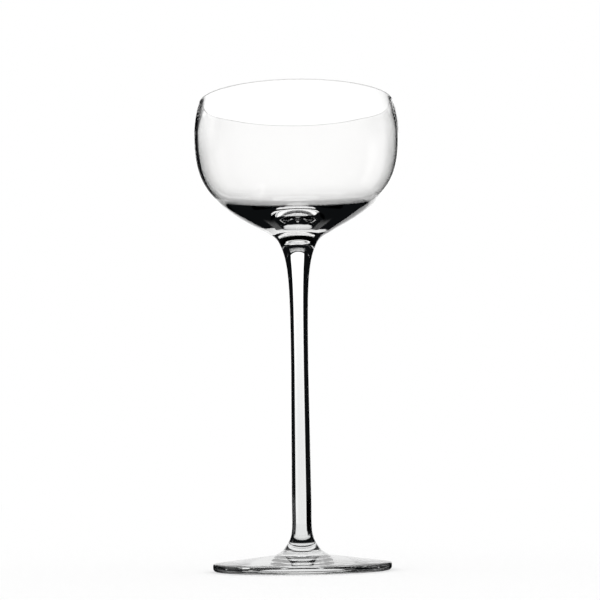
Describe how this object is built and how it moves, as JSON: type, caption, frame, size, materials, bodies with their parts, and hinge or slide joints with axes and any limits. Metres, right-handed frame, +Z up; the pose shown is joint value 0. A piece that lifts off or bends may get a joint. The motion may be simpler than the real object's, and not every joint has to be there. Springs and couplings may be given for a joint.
{
  "type": "coupe glass",
  "caption": "Clear stemmed coupe glass: a wide thin bowl drawn in slightly at the lip, on a slender flared stem and a disc foot, for serving drinks.",
  "frame": {"origin": "on the glass's axis, at the level of the table, under the centre of the ring that the foot stands on", "axes": "+Z up along the stem's axis, towards the lip; the glass is round, so X and Y are free"},
  "size_m": [0.0886, 0.0886, 0.2],
  "materials": {
    "clear_glass": "clear fire-polished glass"
  },
  "bodies": {
    "root": {"bowl": "clear_glass", "stem": "clear_glass", "foot": "clear_glass"}
  },
  "joints": []
}
